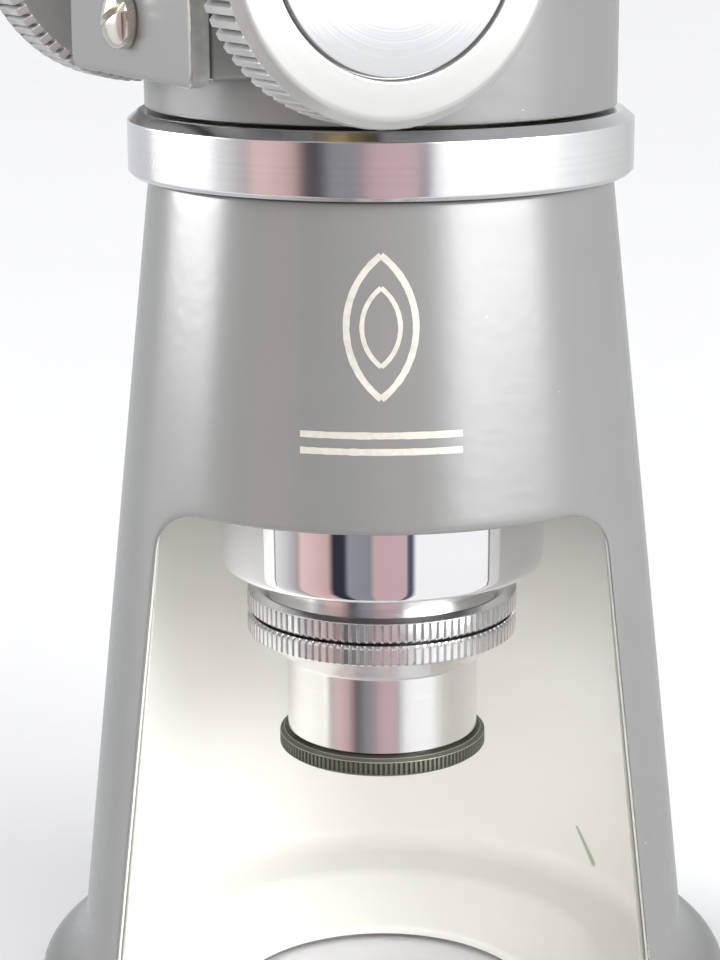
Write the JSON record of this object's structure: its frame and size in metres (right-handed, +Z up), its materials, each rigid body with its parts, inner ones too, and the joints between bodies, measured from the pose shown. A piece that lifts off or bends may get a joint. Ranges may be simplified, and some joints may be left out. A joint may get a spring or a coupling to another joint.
{
  "type": "field microscope",
  "caption": "Hand-held field microscope: cone stand with a front window, swivelling head with rack focusing, draw tube, screwed objective and push-fit eyepiece.",
  "frame": {"origin": "centre of the base's underside, on the optical axis", "axes": "+Z up along the optical axis; the stand's window faces -Y"},
  "size_m": [0.0785, 0.0795, 0.1706],
  "materials": {
    "grey_enamel": "satin gloss grey stoving enamel",
    "bright_aluminium": "fine turned, satin",
    "chrome": "mirror plated",
    "dark_bronze": "blackened, worn",
    "brass": "turned and milled",
    "steel": "turned",
    "nickel": "nickel plated, worn slots",
    "knob_grey": "light grey, satin",
    "black": "matte black",
    "glass": "polished"
  },
  "bodies": {
    "stand": {"stand_casting": "grey_enamel", "clamp_ring": "bright_aluminium"},
    "head": {"head_housing": "grey_enamel", "swivel_spigot": "brass", "swivel_retaining_ring": "steel", "guide_sleeve": "bright_aluminium", "guide_screw_1": "nickel", "guide_screw_2": "nickel", "guide_screw_3": "nickel", "rack_cover_plate": "grey_enamel", "cover_screw_lower": "nickel", "cover_screw_upper": "nickel", "pinion_bearing_block": "brass", "shaft_bush_front": "brass", "shaft_bush_rear": "brass"},
    "focus_knobs": {"focus_shaft": "steel", "focus_pinion": "brass", "focus_knob_front": "knob_grey", "focus_knob_rear": "knob_grey", "knob_nut_front": "steel", "knob_nut_rear": "steel", "knob_inlay_front": "bright_aluminium", "knob_inlay_rear": "bright_aluminium"},
    "tube": {"draw_tube": "chrome", "focus_rack": "brass", "rack_screw_lower": "steel", "rack_screw_upper": "steel", "tube_top_ring": "bright_aluminium", "objective_collar": "chrome"},
    "adapter": {"adapter_ring": "chrome"},
    "objective": {"objective_barrel": "bright_aluminium", "objective_front_lens": "glass", "lens_spacer": "black", "objective_rear_lens": "glass", "objective_retaining_ring": "black"},
    "front": {"front_ring": "dark_bronze"},
    "eyepiece": {"eyepiece_body": "chrome", "eye_lens": "glass", "eye_lens_seat_ring": "black", "field_stop": "black", "field_lens": "glass", "field_lens_ring": "black"},
    "cup": {"eyecup": "black"}
  },
  "joints": [
    {"name": "head_swivel", "type": "hinge", "parent": "stand", "child": "head", "pos_m": [0, 0, 0.0942], "axis": [0, 0, 1], "continuous": true},
    {"name": "focus_slide", "type": "slide", "parent": "head", "child": "tube", "axis": [0, 0, 1], "range_m": [-0.01, 0.01]},
    {"name": "focus_knob_turn", "type": "hinge", "parent": "head", "child": "focus_knobs", "pos_m": [-0.01331, -0.00693, 0.1138], "axis": [0.4617, -0.887, 0], "range_deg": [-165, 165]},
    {"name": "adapter_turn", "type": "hinge", "parent": "tube", "child": "adapter", "pos_m": [0, 0, 0.047], "axis": [0, 0, -1], "range_deg": [0, 60]},
    {"name": "objective_turn", "type": "hinge", "parent": "adapter", "child": "objective", "pos_m": [0, 0, 0.04], "axis": [0, 0, -1], "range_deg": [0, 180]},
    {"name": "front_ring_turn", "type": "hinge", "parent": "objective", "child": "front", "pos_m": [0, 0, 0.031], "axis": [0, 0, -1], "range_deg": [0, 90]},
    {"name": "eyepiece_slide", "type": "slide", "parent": "tube", "child": "eyepiece", "axis": [0, 0, 1], "range_m": [0, 0.018]},
    {"name": "eyecup_turn", "type": "hinge", "parent": "eyepiece", "child": "cup", "pos_m": [0, 0, 0.165], "axis": [0, 0, 1], "range_deg": [0, 90]}
  ],
  "couplings": [
    {"joint": "focus_knob_turn", "follows": "focus_slide", "rad_per_m": 285.71}
  ]
}
